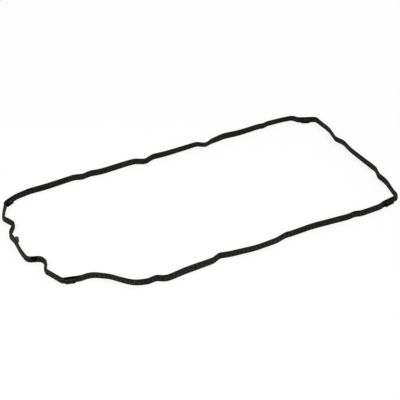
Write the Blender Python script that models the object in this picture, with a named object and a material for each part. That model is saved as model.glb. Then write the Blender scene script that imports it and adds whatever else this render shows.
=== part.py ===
"""Oil pan gasket: one closed ring of moulded black rubber strip.

The strip stands on edge like a blade and follows the pan's flange, with a short step inward at each
bolt. Four gripping lugs sit near the corners and one assembly tab sits on the left end.

Frame: metres, +Z up, +X along the long rails. The origin is the bottom centre of the overall box.
"""
import math
from collections import namedtuple

import bmesh
import bpy
from mathutils import Vector

# Ring, measured between the reference lines of opposite sides
RING_LENGTH = 0.474
RING_WIDTH = 0.236

# Section of the strip
STRIP_WIDTH = 0.0024
STRIP_HEIGHT = 0.0077
STRIP_CHAMFER = 0.0003

# Gripping lugs, low on both walls of the strip
LUG_LENGTH = 0.0125
LUG_REACH = 0.0025
LUG_HEIGHT = 0.0054
LUG_ROUND = 0.0012

# Assembly tab on the inner wall of the left end
TAB_LENGTH = 0.0042
TAB_REACH = 0.0035
TAB_STATION = 0.0225

# How finely the round stretches are divided
ARC_STEP = math.radians(10)
ROUND_SEGMENTS = 2

# The most of a straight that the round at either of its ends may take
STRAIGHT_SHARE = 0.49

RUBBER_COLOUR = (0.017, 0.018, 0.015, 1.0)
RUBBER_ROUGHNESS = 0.55

# A side is a list of corner points of the centre line: the station along the side from the ring's
# middle, how far the point stands out of the side's reference line, and the radius of its round
FAR_RAIL = (
    (-0.1860, -0.0041, 0.030), (-0.1630, -0.0037, 0.060),
    (-0.1230, 0.0004, 0.008), (-0.1125, -0.0030, 0.006), (-0.1010, -0.0003, 0.010),
    (-0.0860, -0.0024, 0.050), (-0.0500, 0.0005, 0.050),
    (-0.0375, 0.0009, 0.008), (-0.0247, -0.0058, 0.006), (-0.0105, 0.0005, 0.008),
    (0.0060, -0.0002, 0.060),
    (0.0550, 0.0033, 0.006), (0.0650, -0.0043, 0.005), (0.0750, 0.0005, 0.008),
    (0.0980, 0.0050, 0.014), (0.1180, 0.0033, 0.060),
    (0.1530, 0.0061, 0.005), (0.1570, 0.0045, 0.004), (0.1650, 0.0074, 0.008),
    (0.1900, 0.0072, 0.025),
)
RIGHT_END = (
    (0.0750, -0.0027, 0.040),
    (0.0505, -0.0066, 0.008), (0.0370, -0.0019, 0.010),
    (0.0180, -0.0030, 0.060), (-0.0370, 0.0018, 0.008),
    (-0.0520, -0.0023, 0.008), (-0.0680, -0.0017, 0.030),
    (-0.0920, -0.0059, 0.012),
)
NEAR_RAIL = (
    (0.1700, -0.0048, 0.020), (0.1605, -0.0072, 0.006), (0.1520, -0.0055, 0.010),
    (0.1020, -0.0081, 0.080),
    (0.0690, -0.0055, 0.006), (0.0625, -0.0058, 0.006), (0.0475, -0.0013, 0.020),
    (0.0180, 0.0008, 0.060),
    (-0.0180, -0.0024, 0.040), (-0.0285, -0.0050, 0.005), (-0.0390, 0.0005, 0.008),
    (-0.0760, 0.0033, 0.060),
    (-0.1038, 0.0070, 0.010), (-0.1138, 0.0008, 0.006), (-0.1240, 0.0028, 0.008),
)
LEFT_END = (
    (0.0000, 0.0017, 0.060), (0.0220, 0.0009, 0.030),
    (0.0365, 0.0014, 0.006), (0.0534, -0.0092, 0.006), (0.0723, -0.0016, 0.005),
)

# A corner is a list of points in the same clockwise order: how far inside the end's reference line,
# how far inside the rail's, and the radius. Its lug sits on the straight that starts at the point
# numbered lug_from, and its middle is lug_at along that straight
Corner = namedtuple("Corner", "lug_from lug_at points")
FAR_LEFT = Corner(1, 0.0056, (
    (0.0077, 0.0320, 0.020), (0.0152, 0.0172, 0.003), (0.0315, 0.0084, 0.008)))
FAR_RIGHT = Corner(1, 0.0108, (
    (0.0331, -0.0055, 0.005), (0.0288, 0.0024, 0.004), (0.0053, 0.0123, 0.004)))
NEAR_RIGHT = Corner(0, 0.0156, (
    (0.0073, 0.0148, 0.005), (0.0319, 0.0094, 0.006), (0.0390, 0.0066, 0.006)))
NEAR_LEFT = Corner(4, 0.0125, (
    (0.0970, 0.0002, 0.025), (0.0765, 0.0248, 0.030), (0.0605, 0.0356, 0.020),
    (0.0530, 0.0376, 0.020), (0.0440, 0.0368, 0.012), (0.0230, 0.0418, 0.003),
    (0.0117, 0.0680, 0.005), (0.0183, 0.0825, 0.006), (0.0154, 0.0923, 0.006),
    (0.0001, 0.0976, 0.008)))


def clear_scene():
    for item in list(bpy.data.objects):
        bpy.data.objects.remove(item, do_unlink=True)


# Centre line of the strip, seen from above

def rail_points(points, side):
    # side is +1 for the far rail and -1 for the near rail
    return [(Vector((station, side * (RING_WIDTH / 2 + out))), radius)
            for station, out, radius in points]


def end_points(points, side):
    # side is +1 for the right end and -1 for the left end
    return [(Vector((side * (RING_LENGTH / 2 + out), station)), radius)
            for station, out, radius in points]


def corner_points(corner, end_side, rail_side):
    return [(Vector((end_side * (RING_LENGTH / 2 - from_end), rail_side * (RING_WIDTH / 2 - from_rail))), radius)
            for from_end, from_rail, radius in corner.points]


def ring_points():
    # all corner points in order, clockwise from the far left corner
    return (corner_points(FAR_LEFT, -1, 1) + rail_points(FAR_RAIL, 1)
            + corner_points(FAR_RIGHT, 1, 1) + end_points(RIGHT_END, 1)
            + corner_points(NEAR_RIGHT, 1, -1) + rail_points(NEAR_RAIL, -1)
            + corner_points(NEAR_LEFT, -1, -1) + end_points(LEFT_END, -1))


def rounded_corner(before, corner, after, radius):
    # the points of an arc that rounds one corner, kept within its share of each straight beside it
    to_before = before - corner
    to_after = after - corner
    half_angle = to_before.angle(to_after) / 2
    room = STRAIGHT_SHARE * min(to_before.length, to_after.length)
    reach = min(radius / math.tan(half_angle), room)
    radius = reach * math.tan(half_angle)
    bisector = (to_before.normalized() + to_after.normalized()).normalized()
    centre = corner + bisector * math.hypot(reach, radius)
    start = corner + to_before.normalized() * reach - centre
    turn = start.angle_signed(corner + to_after.normalized() * reach - centre)
    steps = max(1, math.ceil(abs(turn) / ARC_STEP))
    first = math.atan2(start.y, start.x)
    return [centre + Vector((math.cos(first - turn * k / steps), math.sin(first - turn * k / steps))) * radius
            for k in range(steps + 1)]


def centre_line():
    corners = ring_points()
    line = []
    for k, (corner, radius) in enumerate(corners):
        before = corners[k - 1][0]
        after = corners[(k + 1) % len(corners)][0]
        line += rounded_corner(before, corner, after, radius)
    return line


def outward_normals(line):
    # the line runs clockwise, so the outside is on the left of the way along it
    normals = []
    for k in range(len(line)):
        along = line[(k + 1) % len(line)] - line[k - 1]
        normals.append(Vector((-along.y, along.x)).normalized())
    return normals


# Solids

def strip_section():
    # out and up from the centre of the base, anticlockwise
    half = STRIP_WIDTH / 2
    cut = STRIP_CHAMFER
    top = STRIP_HEIGHT
    return ((half - cut, 0), (half, cut), (half, top - cut), (half - cut, top),
            (cut - half, top), (-half, top - cut), (-half, cut), (cut - half, 0))


def strip_mesh(line, normals):
    section = strip_section()
    mesh = bmesh.new()
    rings = [[mesh.verts.new((*(point + normal * out), up)) for out, up in section]
             for point, normal in zip(line, normals)]
    for k, ring in enumerate(rings):
        following = rings[(k + 1) % len(rings)]
        for j in range(len(section)):
            i = (j + 1) % len(section)
            mesh.faces.new((ring[j], ring[i], following[i], following[j]))
    bmesh.ops.recalc_face_normals(mesh, faces=mesh.faces)
    return mesh


def block_mesh(length, width, height, rounding):
    # a block on the floor plane with every edge rounded but those of its base
    mesh = bmesh.new()
    bmesh.ops.create_cube(mesh, size=1)
    bmesh.ops.translate(mesh, verts=mesh.verts, vec=(0, 0, 0.5))
    bmesh.ops.scale(mesh, verts=mesh.verts, vec=(length, width, height))
    edges = [edge for edge in mesh.edges if max(vert.co.z for vert in edge.verts) > height / 2]
    bmesh.ops.bevel(mesh, geom=edges, offset=rounding, segments=ROUND_SEGMENTS, affect="EDGES")
    return mesh


def new_object(name, mesh):
    data = bpy.data.meshes.new(name)
    mesh.to_mesh(data)
    mesh.free()
    item = bpy.data.objects.new(name, data)
    bpy.context.scene.collection.objects.link(item)
    return item


def join_solid(target, solid):
    # a Boolean union with a guide solid, which stays hidden
    solid.hide_render = True
    solid.display_type = "WIRE"
    union = target.modifiers.new("join_" + solid.name, "BOOLEAN")
    union.operation = "UNION"
    union.solver = "EXACT"
    union.object = solid


def lug(name, corner, end_side, rail_side, offset):
    points = corner_points(corner, end_side, rail_side)
    start = points[corner.lug_from][0]
    along = (points[corner.lug_from + 1][0] - start).normalized()
    middle = start + along * corner.lug_at - offset
    item = new_object(name, block_mesh(LUG_LENGTH, STRIP_WIDTH + 2 * LUG_REACH, LUG_HEIGHT, LUG_ROUND))
    item.location = (middle.x, middle.y, 0)
    item.rotation_euler.z = math.atan2(along.y, along.x)
    return item


def tab(line, offset):
    # from the strip's centre line inward, at its own station on the left end
    left_half = [point for point in line if point.x < 0]
    nearest = min(left_half, key=lambda point: abs(point.y - TAB_STATION))
    reach = STRIP_WIDTH / 2 + TAB_REACH
    item = new_object("tab_solid", block_mesh(reach, TAB_LENGTH, STRIP_HEIGHT, STRIP_CHAMFER))
    item.location = (nearest.x + reach / 2 - offset.x, TAB_STATION - offset.y, 0)
    return item


def rubber():
    material = bpy.data.materials.new("rubber")
    material.use_nodes = True
    shader = material.node_tree.nodes["Principled BSDF"]
    shader.inputs["Base Color"].default_value = RUBBER_COLOUR
    shader.inputs["Roughness"].default_value = RUBBER_ROUGHNESS
    shader.inputs["Metallic"].default_value = 0.0
    return material


def box_centre(line, normals):
    outline = [point + normal * STRIP_WIDTH / 2 for point, normal in zip(line, normals)]
    across = [point.x for point in outline]
    along = [point.y for point in outline]
    return Vector(((min(across) + max(across)) / 2, (min(along) + max(along)) / 2))


def build():
    clear_scene()
    line = centre_line()
    normals = outward_normals(line)
    offset = box_centre(line, normals)
    gasket = new_object("gasket", strip_mesh([point - offset for point in line], normals))
    gasket.data.materials.append(rubber())
    join_solid(gasket, lug("lug_far_left", FAR_LEFT, -1, 1, offset))
    join_solid(gasket, lug("lug_far_right", FAR_RIGHT, 1, 1, offset))
    join_solid(gasket, lug("lug_near_right", NEAR_RIGHT, 1, -1, offset))
    join_solid(gasket, lug("lug_near_left", NEAR_LEFT, -1, -1, offset))
    join_solid(gasket, tab(line, offset))


build()
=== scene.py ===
"""Looks of an oil pan gasket: a blade of moulded black rubber that stands on edge in one closed ring.

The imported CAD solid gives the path, the height and the lugs' places. Around it this file makes the
strip, the fine upright ribs on its walls, the gripping lugs, the assembly tab, the gate mark and the
dark places of the rubber, then the floor, the lamps and the camera.
"""

import math

import bmesh
import bpy
import numpy as np
from mathutils import Matrix, Vector
from mathutils.kdtree import KDTree


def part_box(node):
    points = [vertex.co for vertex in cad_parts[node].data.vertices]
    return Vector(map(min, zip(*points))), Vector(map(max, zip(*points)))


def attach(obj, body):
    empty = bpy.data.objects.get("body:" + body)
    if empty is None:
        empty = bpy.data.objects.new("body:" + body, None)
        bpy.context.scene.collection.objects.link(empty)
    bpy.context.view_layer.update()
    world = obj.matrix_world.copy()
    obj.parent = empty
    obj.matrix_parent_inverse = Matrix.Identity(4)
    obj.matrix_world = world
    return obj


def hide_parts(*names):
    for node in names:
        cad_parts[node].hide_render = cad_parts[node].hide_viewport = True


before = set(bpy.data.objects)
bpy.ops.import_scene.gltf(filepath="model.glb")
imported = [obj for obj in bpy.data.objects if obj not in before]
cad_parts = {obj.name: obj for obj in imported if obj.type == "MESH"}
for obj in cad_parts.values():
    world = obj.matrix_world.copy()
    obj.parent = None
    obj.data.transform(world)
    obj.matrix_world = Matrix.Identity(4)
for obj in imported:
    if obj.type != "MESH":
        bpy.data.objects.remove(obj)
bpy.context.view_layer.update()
RING = "gasket"
RING_LOW, RING_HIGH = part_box(RING)

bl_info = {
    "name": "Oil Pan Gasket",
    "version": (1, 0, 0),
    "blender": (4, 5, 0),
    "location": "View3D > Sidebar > Gasket",
    "description": "Builds a moulded rubber gasket ring around its CAD frame",
    "category": "Object",
}

# Points of the CAD solid closer than this are the same point
WELD = 1e-6

# How finely the strip's rounded edges, the ribs, the lugs, the bare rubber, the tab's rounded edges and
# the gate nub are divided
EDGE_POINTS = 5
RIB_SIDES = 8
RIB_LEVELS = 6
LUG_STEPS = 12
LUG_LEVELS = 36
COVER_STEPS = 4
TAB_SEGMENTS = 4
NUB_SEGMENTS = 24
NUB_RINGS = 12

# How suddenly a rib narrows toward its ends, and by what share
RIB_TAPER = 6.0
RIB_NARROWING = 0.7

# Noise in the rubber: how fine it is, its detail, and the values from which and up to which it rises
OLIVE_PATCHES = (85, 2, 0.42, 0.54)
BROWN_PATCHES = (38, 2, 0.60, 0.68)
DUST = (420, 5, 0.40, 0.72)
MOTTLING = (430, 3, 0.30, 0.70)
RIB_WEAR = (75, 2, 0.35, 0.65)
GRAIN = (2600, 3, 0.25, 0.80)
NOISE_ROUGHNESS = 0.6

# Faces of the tab that look out of the wall more than this belong to its end, which is painted darker
# than the rest of the tab as painted shade
END_SLOPE = 0.5

# How straight the ends of bare rubber are: 2 for a round place, more for a band with square ends
SPOT_SQUARE = 2
BAND_SQUARE = 6

# The blade is flexible, so it stands a little out of plumb and off its drawn line in places: a point of the
# ring in metres, how far the top edge leans out of the ring against the foot, how far the whole blade is
# pushed out of the ring, and how long the bend reaches along the strip
BENDS = (
    ((-0.2200, 0.1000), 0.0005, 0.0001, 0.009),
    ((-0.1680, 0.1140), 0.0009, 0.0, 0.040),
    ((-0.0800, 0.1160), 0.0009, 0.0, 0.036),
    ((0.0300, 0.1190), -0.0008, -0.0003, 0.022),
    ((0.0540, 0.1200), -0.0007, -0.0002, 0.018),
    ((0.0650, 0.1150), -0.0022, 0.0, 0.013),
    ((0.1000, 0.1220), 0.0012, 0.0, 0.024),
    ((0.1880, 0.1245), -0.0014, 0.0, 0.026),
    ((0.2180, 0.1110), 0.0006, -0.0007, 0.009),
    ((0.2335, 0.0900), -0.0003, -0.0004, 0.015),
    ((0.2320, 0.0700), -0.0012, 0.0, 0.034),
    ((0.2310, 0.0500), 0.0, -0.0005, 0.009),
    ((0.2350, 0.0100), -0.0012, -0.0002, 0.036),
    ((0.2380, -0.0410), -0.0006, 0.0, 0.008),
    ((0.2350, -0.0510), 0.0002, -0.0006, 0.007),
    ((0.2320, -0.0900), -0.0007, -0.0003, 0.015),
    ((0.2295, -0.1010), -0.0002, 0.0003, 0.005),
    ((0.2040, -0.1095), -0.0006, 0.0, 0.012),
    ((0.1500, -0.1125), -0.0006, 0.0, 0.070),
    ((0.0640, -0.1130), 0.0, -0.0004, 0.024),
    ((0.0250, -0.1190), 0.0005, 0.0, 0.018),
    ((-0.0740, -0.1220), -0.0015, 0.0, 0.036),
    ((-0.0930, -0.1240), 0.0, 0.0003, 0.009),
    ((-0.1380, -0.1180), 0.0003, -0.0006, 0.011),
    ((-0.1530, -0.1030), 0.0, 0.0004, 0.010),
    ((-0.1600, -0.0960), 0.0012, 0.0, 0.024),
    ((-0.1760, -0.0840), 0.0, -0.0003, 0.012),
    ((-0.2190, -0.0600), 0.0004, 0.0, 0.014),
    ((-0.2225, -0.0440), 0.0002, 0.0003, 0.008),
    ((-0.2350, -0.0190), 0.0, 0.0003, 0.010),
    ((-0.2380, 0.0140), 0.0, -0.0003, 0.012),
    ((-0.2370, 0.0330), -0.0009, 0.0005, 0.011),
    ((-0.2345, 0.0425), 0.0010, 0.0002, 0.006),
    ((-0.2305, 0.0560), 0.0, -0.0007, 0.010),
)

# Stretches painted lighter or darker than the rest, partly painted light and shade where the lamps fall on
# the walls differently and partly an uneven tone of the rubber: a point of the ring, the change of
# lightness as a share, and how long it reaches along the strip
PAINTED_SHADE_AND_TONE = (
    ((-0.0720, -0.1215), 0.25, 0.032),
    ((0.1500, -0.1120), -0.24, 0.060),
    ((-0.1600, 0.1145), -0.16, 0.045),
    ((0.2150, -0.1075), -0.25, 0.010),
    ((0.1970, 0.1240), -0.22, 0.014),
    ((-0.2380, 0.0240), 0.40, 0.006),
    ((-0.2330, 0.0800), 0.80, 0.012),
)

# The gate mark on the outer wall, as a point of the ring in metres
GATE_PLACE = (-0.2290, -0.0235)

# Clear wall between a rib and what stands on the wall beside it
RIB_MARGIN = 0.0012

# Levels of the CAD solid nearer to its top than this share of the height belong to the blade's edge
LEVEL_MARGIN = 0.1

# Small places where the bloom is rubbed off the top edge: a point of the ring in metres, the length along
# the strip, and the height that the bare rubber starts at
DULL_SPOTS = (
    ((-0.1170, 0.1160), 0.0085, 0.0064),
    ((-0.0974, 0.1168), 0.0045, 0.0060),
    ((-0.1131, -0.1199), 0.0045, 0.0062),
    ((-0.1044, -0.1246), 0.0035, 0.0046),
    ((0.0655, -0.1127), 0.0030, 0.0020),
    ((0.1627, -0.1118), 0.0060, 0.0064),
)

# Darker bands over the top edge at the lugs: the points of the ring where a band starts and ends, the
# height that it starts at, and whether the band is near black rather than dull
DARK_BANDS = (
    ((-0.1992, -0.0797), (-0.2120, -0.0768), 0.0063, True),
    ((-0.1930, -0.0807), (-0.1992, -0.0797), 0.0055, False),
    ((-0.2251, 0.0941), (-0.2104, 0.1066), 0.0058, False),
    ((0.2216, -0.1054), (0.2030, -0.1096), 0.0058, False),
    ((0.2045, 0.1215), (0.2105, 0.1143), 0.0067, False),
    ((0.2105, 0.1143), (0.2235, 0.1080), 0.0064, True),
    ((0.2235, 0.1080), (0.2325, 0.1000), 0.0062, False),
)

# Gap between two bands that follow each other, so that their end faces don't coincide
BAND_GAP = 0.0001

# The lugs, near left, far left, near right and far right: how much longer each is at its end than the
# setting says, and which end is darkened: -1 for the start, 1 for the end and 0 for neither
LUG_ENDS = (
    (0.0, 0),
    (0.0, -1),
    (0.0024, 1),
    (0.0, 0),
)


# Settings

def length_setting(name, text, default):
    return bpy.props.FloatProperty(name=name, description=text, default=default, min=0.0,
                                   unit="LENGTH", subtype="DISTANCE", precision=5)


def colour_setting(name, text, default):
    return bpy.props.FloatVectorProperty(name=name, description=text, default=default, size=3,
                                         min=0.0, max=1.0, subtype="COLOR")


def share_setting(name, text, default):
    return bpy.props.FloatProperty(name=name, description=text, default=default, min=0.0, max=1.0,
                                   subtype="FACTOR")


def strength_setting(name, text, default):
    return bpy.props.FloatProperty(name=name, description=text, default=default, min=0.0)


class StripSettings(bpy.types.PropertyGroup):
    width: length_setting("Width", "Thickness of the blade", 0.0024)
    height: length_setting("Height", "Height of the blade on edge", RING_HIGH.z - RING_LOW.z)
    edge_round: length_setting("Edge round", "Radius of the blade's four long edges", 0.0003)
    station_step: length_setting("Station step", "Distance between sections along the ring", 0.001)
    ease_passes: bpy.props.IntProperty(name="Ease passes", description="How often the path is eased",
                                       default=5, min=0)


class RibSettings(bpy.types.PropertyGroup):
    pitch: length_setting("Pitch", "Distance between ribs along the strip", 0.0054)
    width: length_setting("Width", "Width of a rib along the strip", 0.0020)
    proud: length_setting("Proud", "How far a rib stands out of the wall", 0.00045)
    foot: length_setting("Foot", "Height at which a rib starts", 0.0006)
    head: length_setting("Head", "Height at which a rib ends", 0.0070)


class LugSettings(bpy.types.PropertyGroup):
    reach: length_setting("Reach", "How far a lug stands out of each wall", 0.0025)
    length: length_setting("Length", "Length of a lug along the strip", 0.0130)
    shoulder: length_setting("Shoulder", "Height at which a lug's rounded top meets the wall", 0.0060)
    crest: length_setting("Crest", "Height at which a lug stands out furthest", 0.0041)
    flank: length_setting("Flank", "Run of a lug's rounded ends", 0.0012)
    foot_round: length_setting("Foot round", "Radius under a lug", 0.0008)
    groove: length_setting("Groove", "Height of the groove between a lug's two lips", 0.0036)
    groove_depth: length_setting("Groove depth", "Depth of the groove", 0.0005)
    groove_width: length_setting("Groove width", "Width of the groove", 0.0010)
    dark_end: length_setting("Bare end", "Length of a lug's bare end", 0.0030)


class MarkSettings(bpy.types.PropertyGroup):
    tab_station: length_setting("Tab station", "Place of the tab along the left end", 0.0221)
    tab_length: length_setting("Tab length", "Length of the tab along the strip", 0.0052)
    tab_reach: length_setting("Tab reach", "How far the tab stands into the ring", 0.0040)
    tab_round: length_setting("Tab round", "Radius of the tab's edges", 0.0009)
    tab_root: length_setting("Tab root", "How far the tab's top laps over the blade", 0.0018)
    skin: length_setting("Skin", "How far bare rubber stands off the blade", 0.0001)
    gate_length: length_setting("Gate length", "Length of the gate mark along the strip", 0.0074)
    gate_foot: length_setting("Gate foot", "Height at which the gate mark starts", 0.0026)
    nub_height: length_setting("Nub height", "Height of the gate nub's middle", 0.0058)
    nub_diameter: length_setting("Nub diameter", "Diameter of the gate nub", 0.0024)
    nub_proud: length_setting("Nub proud", "How far the gate nub stands out", 0.0008)


class RubberSettings(bpy.types.PropertyGroup):
    colour: colour_setting("Rubber", "Colour of the rubber", (0.0104, 0.0105, 0.0093))
    olive: colour_setting("Olive", "Colour of the greenish patches", (0.0099, 0.0106, 0.0066))
    brown: colour_setting("Brown", "Colour of the brownish patches", (0.0118, 0.0113, 0.0074))
    bloom: colour_setting("Bloom", "Colour of the dusty bloom", (0.0270, 0.0272, 0.0240))
    roughness: share_setting("Roughness", "Roughness of the rubber without bloom", 0.52)
    sheen: share_setting("Sheen", "Strength of the surface gloss", 0.07)
    # the wall is painted darker towards its foot, as painted contact shadow where it meets the floor
    foot: share_setting("Foot", "Lightness of the wall at the foot", 0.70)
    foot_shadow_height: length_setting("Foot height", "Height that the dark foot reaches to", 0.0032)
    dust: share_setting("Dust", "Most of the bloom that shows in the dusting", 0.30)
    dust_roughness: share_setting("Dust roughness", "How much rougher the rubber is with bloom", 0.22)
    darkest: share_setting("Darkest", "Lightness of the darkest mottles", 0.38)
    mottling: strength_setting("Mottling", "How much lighter the lightest mottles are", 1.3)
    grain: share_setting("Grain", "Strength of the fine grain", 0.35)
    grain_depth: length_setting("Grain depth", "Depth of the fine grain", 0.00008)
    # the ribs are painted lighter than the wall, the outer ones more than the inner ones, as painted
    # highlight where they catch the light
    outer_rib_highlight: strength_setting("Rubbed", "Lightness of the outer ribs", 2.10)
    inner_rib_highlight: strength_setting("Faint", "Lightness of the inner ribs", 1.40)
    # the lugs' upper lips are painted lighter than their lower lips, as painted light from above; the nub
    # is lighter with dust, and the tab's end uses this copy to be painted darker than the rest of the tab
    painted_light_and_dust: strength_setting("Worn", "Lightness of the lugs' upper lips, the nub and the tab's end", 1.75)
    uneven: share_setting("Uneven", "How much the ribs differ in lightness", 0.6)
    # the tab's top and sides are dusty and painted lighter still, as painted light where the blade shades
    # them
    tab_dust_and_painted_light: strength_setting("Dusty", "Lightness of the tab's top and sides", 4.4)
    dull: strength_setting("Dull", "Lightness of bare rubber that is dull", 0.62)
    # near black: painted shade in the lugs' grooves and the gate mark, and the darkest bands and lug ends
    clean: strength_setting("Clean", "Lightness of bare rubber that is clean", 0.10)


class StageSettings(bpy.types.PropertyGroup):
    floor: colour_setting("Floor", "Colour of the floor", (0.95, 0.95, 0.95))
    backing: share_setting("Backing", "Share of plain white in what the camera sees of the floor", 0.80)
    sky: strength_setting("Sky", "Strength of the world's light", 0.55)
    lamp: bpy.props.FloatProperty(name="Lamp", description="Power of the key lamp", default=14.0,
                                  unit="POWER")
    fill: share_setting("Fill", "Power of the fill lamp as a share of the key lamp's", 0.5)


# Path of the strip, taken from the CAD solid

def rim_of_top(node):
    # the edges round the flat top of the solid, as pairs of corner points seen from above
    mesh = bmesh.new()
    mesh.from_mesh(node.data)
    bmesh.ops.remove_doubles(mesh, verts=mesh.verts, dist=WELD)
    top = {face for face in mesh.faces if all(RING_HIGH.z - vert.co.z < WELD for vert in face.verts)}
    rim = [edge for edge in mesh.edges if len(top.intersection(edge.link_faces)) == 1]
    pairs = [tuple((vert.index, vert.co.xy.copy()) for vert in edge.verts) for edge in rim]
    mesh.free()
    return pairs


def chained(pairs):
    # the outer rim as one closed row of points, from the point furthest right
    places = {}
    neighbours = {}
    for (a, place_a), (b, place_b) in pairs:
        places[a] = place_a
        places[b] = place_b
        neighbours.setdefault(a, []).append(b)
        neighbours.setdefault(b, []).append(a)
    first = max(places, key=lambda k: places[k].x)
    row = [first]
    step = min(neighbours[first], key=lambda k: places[k].y)
    while step != first:
        row.append(step)
        step = next(k for k in neighbours[step] if k != row[-2])
    inner = [place for k, place in places.items() if k not in set(row)]
    return np.array([places[k] for k in row]), np.array(inner)


def outward(points):
    # unit normals of a clockwise row of points
    along = np.roll(points, -1, 0) - np.roll(points, 1, 0)
    normals = np.column_stack((-along[:, 1], along[:, 0]))
    return normals / np.linalg.norm(normals, axis=1)[:, None]


def even_row(points, step):
    closed = np.vstack((points, points[:1]))
    run = np.concatenate(([0.0], np.cumsum(np.linalg.norm(np.diff(closed, axis=0), axis=1))))
    count = round(run[-1] / step)
    stations = np.arange(count) * run[-1] / count
    return np.column_stack([np.interp(stations, run, closed[:, k]) for k in (0, 1)])


def eased(points, passes):
    for _ in range(passes):
        points = (np.roll(points, 1, 0) + 2 * points + np.roll(points, -1, 0)) / 4
    return points


def centre_line(settings):
    # the rim drawn inward by half of the flat top, as even stations on soft bends
    rim, inner = chained(rim_of_top(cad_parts[RING]))
    gaps = [np.linalg.norm(inner - point, axis=1).min() for point in rim]
    line = rim - outward(rim) * np.median(gaps) / 2
    return eased(even_row(line, settings.station_step), settings.ease_passes)


class Path:
    """The strip's centre line, and its normal, its bend and its painted shade and tone at every station."""

    def __init__(self, settings):
        self.points = centre_line(settings)
        self.normals = outward(self.points)
        self.height = settings.height
        steps = np.linalg.norm(np.roll(self.points, -1, 0) - self.points, axis=1)
        self.run = np.concatenate(([0.0], np.cumsum(steps)))
        self.tree = KDTree(len(self.points))
        for k, point in enumerate(self.points):
            self.tree.insert((*point, 0), k)
        self.tree.balance()
        self.lean = sum(lean * self.near(place, reach) for place, lean, _, reach in BENDS)
        self.push = sum(push * self.near(place, reach) for place, _, push, reach in BENDS)
        self.painted_shade_and_tone = 1 + sum(share * self.near(place, reach) for place, share, reach in PAINTED_SHADE_AND_TONE)

    def nearest(self, x, y):
        return self.tree.find((x, y, 0))[1]

    def away_from(self, run):
        # the distance of every station from one place, along the ring
        away = np.abs(self.run[:-1] - run)
        return np.minimum(away, self.run[-1] - away)

    def near(self, place, reach):
        # 1 at a place of the ring, and less and less away from it
        return np.exp(-(self.away_from(self.run_at(*place)) / reach) ** 2)

    def run_at(self, x, y):
        return self.run[self.nearest(x, y)]

    def value_at(self, run, row):
        # a row of values, one a station, between its stations
        return np.interp(run % self.run[-1], self.run, np.append(row, row[0]))

    def at(self, run):
        # the point of the centre line and its outward normal at a distance along the ring
        rows = (self.points, self.normals)
        return [np.array([self.value_at(run, row[:, k]) for k in (0, 1)]) for row in rows]

    def run_beside(self, x, y):
        # the distance along the ring of the place of the centre line beside a point
        station = self.nearest(x, y)
        normal = self.normals[station]
        away = np.array((x, y)) - self.points[station]
        return self.run[station] + away[0] * normal[1] - away[1] * normal[0]

    def stand_at(self, run, side):
        # a frame on the wall: X along the strip, Y out of the wall and Z up
        point, normal = self.at(run)
        out = normal * side
        return Matrix(((out[1], out[0], 0, point[0]), (-out[0], out[1], 0, point[1]),
                       (0, 0, 1, 0), (0, 0, 0, 1)))

    def mark_painted_shade_and_tone(self, mesh):
        # each point gets the painted shade and tone of its station, which the rubber reads
        painted_shade_and_tone = mesh.attributes.new("painted_shade_and_tone", "FLOAT", "POINT")
        for vert, item in zip(mesh.vertices, painted_shade_and_tone.data):
            item.value = self.painted_shade_and_tone[self.nearest(vert.co.x, vert.co.y)]

    def bend(self, mesh):
        # the top edge leans to one side and the foot to the other, and both are pushed out
        for vert in mesh.vertices:
            run = self.run_beside(vert.co.x, vert.co.y)
            lean = self.value_at(run, self.lean) * (vert.co.z / self.height - 0.5)
            shift = self.at(run)[1] * (lean + self.value_at(run, self.push))
            vert.co.x += shift[0]
            vert.co.y += shift[1]


def path():
    return Path(bpy.context.scene.gasket_strip)


# Node trees

def link(tree, start, end):
    tree.links.new(start, end)


def node(tree, kind, **sockets):
    made = tree.nodes.new(kind)
    for name, value in sockets.items():
        made.inputs[name.replace("_", " ")].default_value = value
    return made


def math_node(tree, operation, first, second=None):
    made = tree.nodes.new("ShaderNodeMath")
    made.operation = operation
    for k, value in enumerate((first, second)):
        if isinstance(value, bpy.types.NodeSocket):
            link(tree, value, made.inputs[k])
        elif value is not None:
            made.inputs[k].default_value = value
    return made.outputs[0]


def geometry_tree(name, inputs):
    # a tree with named inputs, and the two nodes that hold its input and output sockets
    tree = bpy.data.node_groups.new(name, "GeometryNodeTree")
    tree.interface.new_socket(name="Geometry", in_out="OUTPUT", socket_type="NodeSocketGeometry")
    tree.interface.new_socket(name="Path", in_out="INPUT", socket_type="NodeSocketGeometry")
    for label, kind in inputs:
        tree.interface.new_socket(name=label, in_out="INPUT", socket_type=kind)
    return tree, tree.nodes.new("NodeGroupInput"), tree.nodes.new("NodeGroupOutput")


def close_tree(tree, geometry, given, out):
    realize = node(tree, "GeometryNodeRealizeInstances")
    smooth = node(tree, "GeometryNodeSetShadeSmooth")
    finish = node(tree, "GeometryNodeSetMaterial")
    link(tree, geometry, realize.inputs["Geometry"])
    link(tree, realize.outputs["Geometry"], smooth.inputs["Geometry"])
    link(tree, smooth.outputs["Geometry"], finish.inputs["Geometry"])
    link(tree, given.outputs["Material"], finish.inputs["Material"])
    link(tree, finish.outputs["Geometry"], out.inputs["Geometry"])


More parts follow.
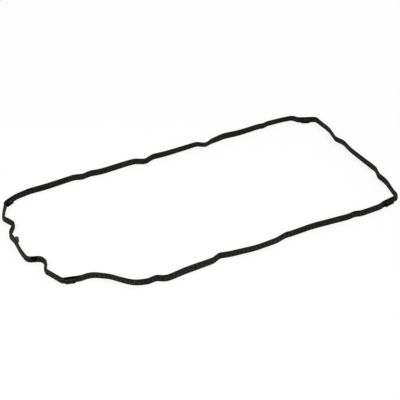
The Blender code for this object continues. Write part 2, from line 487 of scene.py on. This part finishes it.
def sweep_tree():
    # a rounded blade swept along the path
    tree, given, out = geometry_tree("strip_sweep", (
        ("Width", "NodeSocketFloat"), ("Height", "NodeSocketFloat"),
        ("Edge round", "NodeSocketFloat"), ("Material", "NodeSocketMaterial")))
    blade = node(tree, "GeometryNodeCurvePrimitiveQuadrilateral")
    link(tree, given.outputs["Width"], blade.inputs["Width"])
    link(tree, given.outputs["Height"], blade.inputs["Height"])
    fillet = node(tree, "GeometryNodeFilletCurve")
    fillet.mode = "POLY"
    fillet.inputs["Count"].default_value = EDGE_POINTS
    link(tree, blade.outputs["Curve"], fillet.inputs["Curve"])
    link(tree, given.outputs["Edge round"], fillet.inputs["Radius"])
    lift = node(tree, "ShaderNodeCombineXYZ")
    link(tree, math_node(tree, "MULTIPLY", given.outputs["Height"], -0.5), lift.inputs["Y"])
    stand = node(tree, "GeometryNodeTransform")
    link(tree, fillet.outputs["Curve"], stand.inputs["Geometry"])
    link(tree, lift.outputs["Vector"], stand.inputs["Translation"])
    upright = node(tree, "GeometryNodeSetCurveNormal")
    upright.mode = "Z_UP"
    link(tree, given.outputs["Path"], upright.inputs["Curve"])
    sweep = node(tree, "GeometryNodeCurveToMesh")
    link(tree, upright.outputs["Curve"], sweep.inputs["Curve"])
    link(tree, stand.outputs["Geometry"], sweep.inputs["Profile Curve"])
    close_tree(tree, sweep.outputs["Mesh"], given, out)
    return tree


def rib_solid(tree, given):
    # an upright bar with narrowing ends, as tall as from foot to head
    bar = node(tree, "GeometryNodeMeshCylinder", Vertices=RIB_SIDES, Side_Segments=RIB_LEVELS,
               Radius=1.0, Depth=1.0)
    place = node(tree, "GeometryNodeInputPosition")
    split = node(tree, "ShaderNodeSeparateXYZ")
    link(tree, place.outputs["Position"], split.inputs["Vector"])
    twice = math_node(tree, "MULTIPLY", split.outputs["Z"], 2.0)
    taper = math_node(tree, "POWER", math_node(tree, "ABSOLUTE", twice), RIB_TAPER)
    swell = math_node(tree, "SUBTRACT", 1.0, math_node(tree, "MULTIPLY", taper, RIB_NARROWING))
    half_width = math_node(tree, "MULTIPLY", given.outputs["Width"], 0.5)
    tall = math_node(tree, "SUBTRACT", given.outputs["Head"], given.outputs["Foot"])
    middle = math_node(tree, "MULTIPLY",
                       math_node(tree, "ADD", given.outputs["Head"], given.outputs["Foot"]), 0.5)
    across = math_node(tree, "MULTIPLY", math_node(tree, "MULTIPLY", split.outputs["X"], swell), half_width)
    out = math_node(tree, "MULTIPLY", math_node(tree, "MULTIPLY", split.outputs["Y"], swell),
                    given.outputs["Proud"])
    up = math_node(tree, "ADD", math_node(tree, "MULTIPLY", split.outputs["Z"], tall), middle)
    shape = node(tree, "ShaderNodeCombineXYZ")
    link(tree, across, shape.inputs["X"])
    link(tree, out, shape.inputs["Y"])
    link(tree, up, shape.inputs["Z"])
    formed = node(tree, "GeometryNodeSetPosition")
    link(tree, bar.outputs["Mesh"], formed.inputs["Geometry"])
    link(tree, shape.outputs["Vector"], formed.inputs["Position"])
    return formed.outputs["Geometry"]


def rib_tree():
    # an upright rib repeated along the path, at the distance Wall from it
    tree, given, out = geometry_tree("rib_row", (
        ("Ribs", "NodeSocketInt"), ("Wall", "NodeSocketFloat"), ("Width", "NodeSocketFloat"),
        ("Proud", "NodeSocketFloat"), ("Foot", "NodeSocketFloat"), ("Head", "NodeSocketFloat"),
        ("Material", "NodeSocketMaterial")))
    offset = node(tree, "ShaderNodeCombineXYZ")
    link(tree, given.outputs["Wall"], offset.inputs["Y"])
    solid = node(tree, "GeometryNodeTransform")
    link(tree, rib_solid(tree, given), solid.inputs["Geometry"])
    link(tree, offset.outputs["Vector"], solid.inputs["Translation"])
    row = node(tree, "GeometryNodeResampleCurve")
    link(tree, given.outputs["Path"], row.inputs["Curve"])
    link(tree, given.outputs["Ribs"], row.inputs["Count"])
    along = node(tree, "GeometryNodeInputTangent")
    turn = node(tree, "FunctionNodeAlignRotationToVector")
    turn.axis = "X"
    turn.pivot_axis = "Z"
    link(tree, along.outputs["Tangent"], turn.inputs["Vector"])
    plain = math_node(tree, "GREATER_THAN", node(tree, "GeometryNodeInputRadius").outputs["Radius"], 0.5)
    ribs = node(tree, "GeometryNodeInstanceOnPoints")
    link(tree, row.outputs["Curve"], ribs.inputs["Points"])
    link(tree, plain, ribs.inputs["Selection"])
    link(tree, solid.outputs["Geometry"], ribs.inputs["Instance"])
    link(tree, turn.outputs["Rotation"], ribs.inputs["Rotation"])
    close_tree(tree, ribs.outputs["Instances"], given, out)
    return tree


def path_curve(name, line, plain):
    # the ring as a curve whose radius is 1 where the wall is plain and 0 where something stands on it
    curve = bpy.data.curves.new(name, "CURVE")
    curve.dimensions = "3D"
    spline = curve.splines.new("POLY")
    spline.points.add(len(line.points) - 1)
    for k, (x, y) in enumerate(line.points):
        spline.points[k].co = (x, y, 0, 1)
        spline.points[k].radius = float(plain[k])
    spline.use_cyclic_u = True
    item = bpy.data.objects.new(name, curve)
    bpy.context.scene.collection.objects.link(item)
    return item


def grown(name, tree, line, plain, values):
    # runs a node tree on the path and returns what it makes as a plain mesh
    source = path_curve(name + "_path", line, plain)
    modifier = source.modifiers.new(name, "NODES")
    modifier.node_group = tree
    sockets = {item.name: item.identifier for item in tree.interface.items_tree if item.in_out == "INPUT"}
    for label, value in values.items():
        modifier[sockets[label]] = value
    source.update_tag()
    bpy.context.view_layer.update()
    graph = bpy.context.evaluated_depsgraph_get()
    mesh = bpy.data.meshes.new_from_object(source.evaluated_get(graph), depsgraph=graph)
    mesh.name = name
    bpy.data.objects.remove(source, do_unlink=True)
    return mesh


# Rubber

def blend_colours(tree, share, first, second):
    mix = tree.nodes.new("ShaderNodeMix")
    mix.data_type = "RGBA"
    link(tree, share, mix.inputs["Factor"])
    for socket, value in (("A", first), ("B", second)):
        target = next(item for item in mix.inputs if item.name == socket and item.type == "RGBA")
        if isinstance(value, bpy.types.NodeSocket):
            link(tree, value, target)
        else:
            target.default_value = (*value, 1.0)
    return next(item for item in mix.outputs if item.type == "RGBA")


def noise(tree, place, kind):
    # smooth noise from 0 to 1
    scale, detail, low, high = kind
    made = node(tree, "ShaderNodeTexNoise", Scale=scale, Detail=detail, Roughness=NOISE_ROUGHNESS)
    link(tree, place, made.inputs["Vector"])
    band = tree.nodes.new("ShaderNodeMapRange")
    band.inputs["From Min"].default_value = low
    band.inputs["From Max"].default_value = high
    link(tree, made.outputs["Fac"], band.inputs["Value"])
    return band.outputs["Result"]


def patched_colour(tree, place, settings):
    # grey rubber with olive and brown patches and a fine dusting of bloom
    tone = blend_colours(tree, noise(tree, place, OLIVE_PATCHES), settings.colour, settings.olive)
    tone = blend_colours(tree, noise(tree, place, BROWN_PATCHES), tone, settings.brown)
    dust = noise(tree, place, DUST)
    return blend_colours(tree, math_node(tree, "MULTIPLY", dust, settings.dust), tone, settings.bloom), dust


def lightness(tree, place, settings, share, uneven):
    # mottled all over, with painted shade darker towards the foot as a contact shadow and with the painted
    # shade and tone of the stretch, and uneven rubber also changes from one rib to the next
    mottle = math_node(tree, "MULTIPLY", noise(tree, place, MOTTLING), settings.mottling)
    light = math_node(tree, "ADD", mottle, settings.darkest)
    split = node(tree, "ShaderNodeSeparateXYZ")
    link(tree, place, split.inputs["Vector"])
    # painted contact shadow: darker at the foot, rising to full lightness at the foot shadow height
    rise = tree.nodes.new("ShaderNodeMapRange")
    rise.inputs["From Max"].default_value = settings.foot_shadow_height
    rise.inputs["To Min"].default_value = settings.foot
    link(tree, split.outputs["Z"], rise.inputs["Value"])
    painted_shade_and_tone = tree.nodes.new("ShaderNodeAttribute")
    painted_shade_and_tone.attribute_name = "painted_shade_and_tone"
    light = math_node(tree, "MULTIPLY", light, rise.outputs["Result"])
    light = math_node(tree, "MULTIPLY", light, painted_shade_and_tone.outputs["Fac"])
    wear = math_node(tree, "MULTIPLY", noise(tree, place, RIB_WEAR), uneven * share)
    return math_node(tree, "MULTIPLY", light, math_node(tree, "ADD", wear, share * (1 - uneven / 2)))


def rubber(name="moulded_rubber", share=1.0, uneven=0.0):
    # share scales how light the rubber is
    made = bpy.data.materials.get(name)
    if made:
        return made
    settings = bpy.context.scene.gasket_rubber
    made = bpy.data.materials.new(name)
    made.use_nodes = True
    tree = made.node_tree
    shader = tree.nodes["Principled BSDF"]
    place = node(tree, "ShaderNodeTexCoord").outputs["Object"]
    tone, dust = patched_colour(tree, place, settings)
    scaled = node(tree, "ShaderNodeVectorMath")
    scaled.operation = "SCALE"
    link(tree, tone, scaled.inputs["Vector"])
    link(tree, lightness(tree, place, settings, share, uneven), scaled.inputs["Scale"])
    link(tree, scaled.outputs["Vector"], shader.inputs["Base Color"])
    shader.inputs["Specular IOR Level"].default_value = settings.sheen * min(1.0, share ** 2)
    rough = math_node(tree, "ADD", math_node(tree, "MULTIPLY", dust, settings.dust_roughness),
                      settings.roughness)
    link(tree, rough, shader.inputs["Roughness"])
    bump = node(tree, "ShaderNodeBump", Strength=settings.grain, Distance=settings.grain_depth)
    link(tree, noise(tree, place, GRAIN), bump.inputs["Height"])
    link(tree, bump.outputs["Normal"], shader.inputs["Normal"])
    return made


def outer_rib_highlight_rubber():
    settings = bpy.context.scene.gasket_rubber
    return rubber("outer_rib_highlight_rubber", settings.outer_rib_highlight, settings.uneven)


def inner_rib_highlight_rubber():
    settings = bpy.context.scene.gasket_rubber
    return rubber("inner_rib_highlight_rubber", settings.inner_rib_highlight, settings.uneven)


def painted_light_and_dust_rubber():
    settings = bpy.context.scene.gasket_rubber
    return rubber("painted_light_and_dust_rubber", settings.painted_light_and_dust, settings.uneven)


def tab_dust_and_painted_light_rubber():
    return rubber("tab_dust_and_painted_light_rubber", bpy.context.scene.gasket_rubber.tab_dust_and_painted_light)


def dull_rubber():
    return rubber("dull_rubber", bpy.context.scene.gasket_rubber.dull)


def near_black_rubber():
    return rubber("near_black_rubber", bpy.context.scene.gasket_rubber.clean)


# Pieces

def placed(name, mesh, line):
    # a finished piece of the ring: it bends with the blade and stands for the CAD ring
    line.mark_painted_shade_and_tone(mesh)
    line.bend(mesh)
    item = bpy.data.objects.new(name, mesh)
    bpy.context.scene.collection.objects.link(item)
    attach(item, "root")
    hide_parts(RING)
    return item


def solid_mesh(name, mesh, *materials):
    bmesh.ops.recalc_face_normals(mesh, faces=mesh.faces)
    data = bpy.data.meshes.new(name)
    mesh.to_mesh(data)
    mesh.free()
    for material in materials:
        data.materials.append(material)
    data.shade_smooth()
    return data


def loft(mesh, line, middle, lengths, section, paint):
    # joins closed rows of (out, up) that stand across the strip, at distances from its run at middle, and
    # paint gives the number of the material for a distance and a place in the row
    rings = []
    for s in lengths:
        point, normal = line.at(middle + s)
        rings.append([mesh.verts.new((*(point + normal * out), up)) for out, up in section(s)])
    for s, ring in ((lengths[0], rings[0]), (lengths[-1], rings[-1])):
        mesh.faces.new(ring).material_index = paint(s, 0)
    for s, ring, following in zip(lengths, rings, rings[1:]):
        for k in range(len(ring)):
            j = (k + 1) % len(ring)
            face = mesh.faces.new((ring[k], ring[j], following[j], following[k]))
            face.material_index = paint(s, k)


def eased_lengths(half, steps):
    # distances from -half to half, close together at both ends
    return [half * math.sin(math.pi / 2 * k / steps) for k in range(-steps, steps + 1)]


def cover(mesh, line, middle, length, low, square, material_index):
    # a thin sheet of darker rubber over the blade's top: it starts at the height low, and higher towards
    # its ends, which are round for a square of 2 and straighter for more
    settings = bpy.context.scene.gasket_strip
    skin = bpy.context.scene.gasket_marks.skin
    half = settings.width / 2 + skin
    top = settings.height + skin
    bend = settings.edge_round + skin

    def section(s):
        rise = 1 - max(0.0, 1 - abs(2 * s / length) ** square) ** (1 / square)
        start = low + (top - 2 * bend - low) * rise
        row = [(half, start)]
        for side, first in ((1, 0), (-1, 1)):
            for k in range(COVER_STEPS + 1):
                turn = math.pi / 2 * (first + k / COVER_STEPS)
                out = side * (half - bend) + bend * math.cos(turn)
                row.append((out, top - bend + bend * math.sin(turn)))
        return row + [(-half, start)]

    loft(mesh, line, middle, eased_lengths(length / 2, LUG_STEPS), section, lambda s, k: material_index)


def soft_step(value):
    # 0 to 1 with level ends
    value = min(1.0, max(0.0, value))
    return value * value * (3 - 2 * value)


class GASKET_OT_strip(bpy.types.Operator):
    """Sweep the rounded blade of the strip along the ring"""
    bl_idname = "gasket.strip"
    bl_label = "Strip"

    def execute(self, context):
        settings = context.scene.gasket_strip
        line = path()
        mesh = grown("seal_strip", sweep_tree(), line, np.ones(len(line.points)), {
            "Width": settings.width, "Height": settings.height,
            "Edge round": settings.edge_round, "Material": rubber()})
        placed("seal_strip", mesh, line)
        return {"FINISHED"}


def plain_stretches(line):
    # 1 where the walls are plain and 0 at the lugs, the tab and the gate mark
    lugs = bpy.context.scene.gasket_lugs
    marks = bpy.context.scene.gasket_marks
    busy = [(line.run_at(*middle), lugs.length) for middle in lug_places()]
    for start, end, _, _ in DARK_BANDS:
        first, last = line.run_at(*start), line.run_at(*end)
        busy.append(((first + last) / 2, last - first))
    busy.append((line.run_at(RING_LOW.x, marks.tab_station), marks.tab_length))
    busy.append((line.run_at(*GATE_PLACE), marks.gate_length))
    plain = np.ones(len(line.points))
    for run, length in busy:
        plain[line.away_from(run) < length / 2 + RIB_MARGIN] = 0
    return plain


class GASKET_OT_ribs(bpy.types.Operator):
    """Repeat the fine upright ribs along both walls of the strip"""
    bl_idname = "gasket.ribs"
    bl_label = "Wall ribs"

    def execute(self, context):
        settings = context.scene.gasket_ribs
        wall = context.scene.gasket_strip.width / 2
        line = path()
        tree = rib_tree()
        plain = plain_stretches(line)
        # the outer and inner ribs get lighter copies of the rubber, as painted highlight
        rows = (("outer_ribs", 1, outer_rib_highlight_rubber()), ("inner_ribs", -1, inner_rib_highlight_rubber()))
        for name, side, material in rows:
            mesh = grown(name, tree, line, plain, {
                "Ribs": round(line.run[-1] / settings.pitch), "Wall": wall * side,
                "Width": settings.width, "Proud": settings.proud, "Foot": settings.foot,
                "Head": settings.head, "Material": material})
            placed(name, mesh, line)
        return {"FINISHED"}


def lug_places():
    # the middle of each lug, from the highest level between the foot and the top of the CAD solid
    points = [vert.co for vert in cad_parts[RING].data.vertices]
    margin = (RING_HIGH.z - RING_LOW.z) * LEVEL_MARGIN
    lug_top = max(place.z for place in points if place.z < RING_HIGH.z - margin)
    level = [place.xy for place in points if abs(place.z - lug_top) < WELD]
    places = []
    for right in (False, True):
        for far in (False, True):
            top = np.array([place for place in level if (place.x > 0) == right and (place.y > 0) == far])
            places.append((top.max(0) + top.min(0)) / 2)
    return places


def lug_reach(settings, half, along, up):
    # how far the lug stands out of the wall at one point
    ends = soft_step((half - abs(along)) / settings.flank)
    over_crest = max(0.0, up - settings.crest) / (settings.shoulder - settings.crest)
    top = math.sqrt(max(0.0, 1 - over_crest ** 2))
    under = settings.foot_round * (1 - math.sqrt(1 - max(0.0, 1 - up / settings.foot_round) ** 2))
    groove = settings.groove_depth * math.exp(-((up - settings.groove) / settings.groove_width * 2) ** 2)
    return (settings.reach * top - under - groove) * ends


def lug_mesh(line, middle, ends):
    # a lug on both walls, in four materials: the upper lip, painted lighter as painted light from above,
    # the lower lip, the groove painted near black as painted shade together with the lower half of a
    # darkened end, and the upper half of a darkened end
    settings = bpy.context.scene.gasket_lugs
    wall = bpy.context.scene.gasket_strip.width / 2 - bpy.context.scene.gasket_marks.skin
    levels = [settings.shoulder * k / LUG_LEVELS for k in range(LUG_LEVELS + 1)]
    more, dark_end = ends
    half = (settings.length + more) / 2

    def section(s):
        row = [(wall + lug_reach(settings, half, s, up), up) for up in levels]
        return row + [(-out, up) for out, up in reversed(row)]

    def paint(s, k):
        # upper lips take the lighter copy as painted light from above
        up = levels[min(k, 2 * LUG_LEVELS + 1 - k)]
        upper = up > settings.groove
        # the groove is painted near black, as painted shade in the crease between the lips
        if abs(up - settings.groove) < settings.groove_width / 2:
            return 2
        if dark_end * s > half - settings.dark_end:
            return 3 if upper else 2
        return 0 if upper else 1

    mesh = bmesh.new()
    loft(mesh, line, middle + more / 2, eased_lengths(half, LUG_STEPS), section, paint)
    return mesh


class GASKET_OT_lugs(bpy.types.Operator):
    """Form the four gripping lugs near the corners"""
    bl_idname = "gasket.lugs"
    bl_label = "Gripping lugs"

    def execute(self, context):
        line = path()
        for k, (middle, ends) in enumerate(zip(lug_places(), LUG_ENDS)):
            name = "grip_lug_%d" % (k + 1)
            mesh = lug_mesh(line, line.run_at(*middle), ends)
            data = solid_mesh(name, mesh, painted_light_and_dust_rubber(), rubber(), near_black_rubber(), dull_rubber())
            placed(name, data, line)
        return {"FINISHED"}


def block(size, rounding, segments):
    # a block with its base centred on the origin and every edge rounded
    mesh = bmesh.new()
    bmesh.ops.create_cube(mesh, size=1)
    bmesh.ops.translate(mesh, verts=mesh.verts, vec=(0, 0, 0.5))
    bmesh.ops.scale(mesh, verts=mesh.verts, vec=size)
    bmesh.ops.bevel(mesh, geom=mesh.edges, offset=rounding, segments=segments, affect="EDGES")
    return mesh


class GASKET_OT_tab(bpy.types.Operator):
    """Form the assembly tab on the inner wall of the left end"""
    bl_idname = "gasket.tab"
    bl_label = "Assembly tab"

    def execute(self, context):
        settings = context.scene.gasket_marks
        line = path()
        start = context.scene.gasket_strip.width / 2 - settings.tab_root
        reach = settings.tab_root + settings.tab_reach
        size = (settings.tab_length, reach, line.height + settings.skin)
        mesh = block(size, settings.tab_round, TAB_SEGMENTS)
        # the top and sides take dust with painted light, and the end is painted darker as painted shade
        for face in mesh.faces:
            face.material_index = int(face.normal.y > END_SLOPE)
        bmesh.ops.translate(mesh, verts=mesh.verts, vec=(0, start + reach / 2, 0))
        run = line.run_at(RING_LOW.x, settings.tab_station)
        bmesh.ops.transform(mesh, matrix=line.stand_at(run, -1), verts=mesh.verts)
        placed("assembly_tab", solid_mesh("assembly_tab", mesh, tab_dust_and_painted_light_rubber(), painted_light_and_dust_rubber()), line)
        return {"FINISHED"}


class GASKET_OT_gate(bpy.types.Operator):
    """Form the gate mark with its nub, and the dark bands and spots of the top edge"""
    bl_idname = "gasket.gate"
    bl_label = "Gate mark and bare rubber"

    def execute(self, context):
        settings = context.scene.gasket_marks
        line = path()
        run = line.run_at(*GATE_PLACE)
        mesh = bmesh.new()
        # the gate mark is a near-black sheet on the wall around the nub: painted shade of the mark's
        # hollow, on darker rubber
        cover(mesh, line, run, settings.gate_length, settings.gate_foot, SPOT_SQUARE, 0)
        for start, end, low, clean in DARK_BANDS:
            first, last = line.run_at(*start), line.run_at(*end)
            length = last - first - BAND_GAP
            cover(mesh, line, (first + last) / 2, length, low, BAND_SQUARE, 0 if clean else 1)
        for place, length, low in DULL_SPOTS:
            cover(mesh, line, line.run_at(*place), length, low, SPOT_SQUARE, 1)
        placed("dark_places", solid_mesh("dark_places", mesh, near_black_rubber(), dull_rubber()), line)
        nub = bmesh.new()
        radius = settings.nub_diameter / 2
        bmesh.ops.create_uvsphere(nub, u_segments=NUB_SEGMENTS, v_segments=NUB_RINGS, radius=radius)
        bmesh.ops.scale(nub, verts=nub.verts, vec=(1, settings.nub_proud / radius, 1))
        wall = context.scene.gasket_strip.width / 2
        bmesh.ops.translate(nub, verts=nub.verts, vec=(0, wall, settings.nub_height))
        bmesh.ops.transform(nub, matrix=line.stand_at(run, 1), verts=nub.verts)
        placed("gate_nub", solid_mesh("gate_nub", nub, painted_light_and_dust_rubber()), line)
        return {"FINISHED"}


# Stage

FLOOR_REACH = 6
FLOOR_DROP = 0.0001
FLOOR_ROUGHNESS = 0.9

# Places of the lamps, which look at the ring's middle, and their sizes
KEY_PLACE = (-0.9, -0.5, 1.3)
KEY_SIZE = (1.0, 1.0)
FILL_PLACE = (1.2, 0.4, 1.1)
FILL_SIZE = (1.2, 1.2)

# The camera looks at its target from the view's azimuth, elevation and distance
VIEW_AZIMUTH = math.radians(-26)
VIEW_ELEVATION = math.radians(35)
VIEW_DISTANCE = 1.651
VIEW_TARGET = (0.00386, 0.00540, 0.0)
LENS = 117
SENSOR = 36
CLIP_NEAR = 0.05
CLIP_FAR = 50


def plain_floor():
    settings = bpy.context.scene.gasket_stage
    made = bpy.data.materials.new("pale_floor")
    made.use_nodes = True
    tree = made.node_tree
    shader = tree.nodes["Principled BSDF"]
    shader.inputs["Base Color"].default_value = (*settings.floor, 1.0)
    shader.inputs["Roughness"].default_value = FLOOR_ROUGHNESS
    shader.inputs["Specular IOR Level"].default_value = 0.0
    white = node(tree, "ShaderNodeEmission", Color=(1, 1, 1, 1), Strength=1.0)
    rays = node(tree, "ShaderNodeLightPath")
    seen = math_node(tree, "MULTIPLY", rays.outputs["Is Camera Ray"], settings.backing)
    mix = node(tree, "ShaderNodeMixShader")
    link(tree, seen, mix.inputs["Fac"])
    link(tree, shader.outputs["BSDF"], mix.inputs[1])
    link(tree, white.outputs["Emission"], mix.inputs[2])
    link(tree, mix.outputs["Shader"], tree.nodes["Material Output"].inputs["Surface"])
    return made


def floor():
    mesh = bmesh.new()
    bmesh.ops.create_grid(mesh, x_segments=1, y_segments=1, size=FLOOR_REACH)
    bmesh.ops.translate(mesh, verts=mesh.verts, vec=(0, 0, -FLOOR_DROP))
    data = bpy.data.meshes.new("floor")
    mesh.to_mesh(data)
    mesh.free()
    data.materials.append(plain_floor())
    item = bpy.data.objects.new("floor", data)
    bpy.context.scene.collection.objects.link(item)


def softbox(name, place, size, power):
    data = bpy.data.lights.new(name, "AREA")
    data.shape = "RECTANGLE"
    data.size = size[0]
    data.size_y = size[1]
    data.energy = power
    item = bpy.data.objects.new(name, data)
    item.location = place
    item.rotation_euler = (-Vector(place)).to_track_quat("-Z", "Y").to_euler()
    bpy.context.scene.collection.objects.link(item)


def sky(strength):
    world = bpy.data.worlds.new("studio")
    world.use_nodes = True
    world.node_tree.nodes["Background"].inputs["Color"].default_value = (1, 1, 1, 1)
    world.node_tree.nodes["Background"].inputs["Strength"].default_value = strength
    bpy.context.scene.world = world


def camera():
    back = Vector((math.sin(VIEW_AZIMUTH) * math.cos(VIEW_ELEVATION),
                   -math.cos(VIEW_AZIMUTH) * math.cos(VIEW_ELEVATION), math.sin(VIEW_ELEVATION)))
    data = bpy.data.cameras.new("camera")
    data.sensor_fit = "HORIZONTAL"
    data.sensor_width = SENSOR
    data.lens = LENS
    data.clip_start = CLIP_NEAR
    data.clip_end = CLIP_FAR
    item = bpy.data.objects.new("camera", data)
    item.location = Vector(VIEW_TARGET) + back * VIEW_DISTANCE
    item.rotation_euler = (-back).to_track_quat("-Z", "Y").to_euler()
    bpy.context.scene.collection.objects.link(item)
    bpy.context.scene.camera = item


class GASKET_OT_stage(bpy.types.Operator):
    """Lay the pale floor and set the soft lamps and the camera"""
    bl_idname = "gasket.stage"
    bl_label = "Stage"

    def execute(self, context):
        settings = context.scene.gasket_stage
        floor()
        sky(settings.sky)
        softbox("key_lamp", KEY_PLACE, KEY_SIZE, settings.lamp)
        softbox("fill_lamp", FILL_PLACE, FILL_SIZE, settings.lamp * settings.fill)
        camera()
        context.scene.view_settings.view_transform = "Standard"
        return {"FINISHED"}


# Add-on

OPERATORS = (GASKET_OT_strip, GASKET_OT_ribs, GASKET_OT_lugs, GASKET_OT_tab, GASKET_OT_gate,
             GASKET_OT_stage)
GROUPS = {"gasket_strip": StripSettings, "gasket_ribs": RibSettings, "gasket_lugs": LugSettings,
          "gasket_marks": MarkSettings, "gasket_rubber": RubberSettings, "gasket_stage": StageSettings}


class GASKET_PT_panel(bpy.types.Panel):
    """Lists the gasket's pieces and their settings"""
    bl_idname = "GASKET_PT_panel"
    bl_label = "Oil pan gasket"
    bl_space_type = "VIEW_3D"
    bl_region_type = "UI"
    bl_category = "Gasket"

    def draw(self, context):
        for name, group in GROUPS.items():
            box = self.layout.box()
            for field in group.__annotations__:
                box.prop(getattr(context.scene, name), field)
        for operator in OPERATORS:
            self.layout.operator(operator.bl_idname)


CLASSES = (*GROUPS.values(), *OPERATORS, GASKET_PT_panel)


def register():
    for item in CLASSES:
        bpy.utils.register_class(item)
    for name, group in GROUPS.items():
        setattr(bpy.types.Scene, name, bpy.props.PointerProperty(type=group))


def unregister():
    for name in GROUPS:
        delattr(bpy.types.Scene, name)
    for item in reversed(CLASSES):
        bpy.utils.unregister_class(item)


def main():
    register()
    bpy.ops.gasket.strip()
    bpy.ops.gasket.ribs()
    bpy.ops.gasket.lugs()
    bpy.ops.gasket.tab()
    bpy.ops.gasket.gate()
    bpy.ops.gasket.stage()


if __name__ == "__main__":
    main()
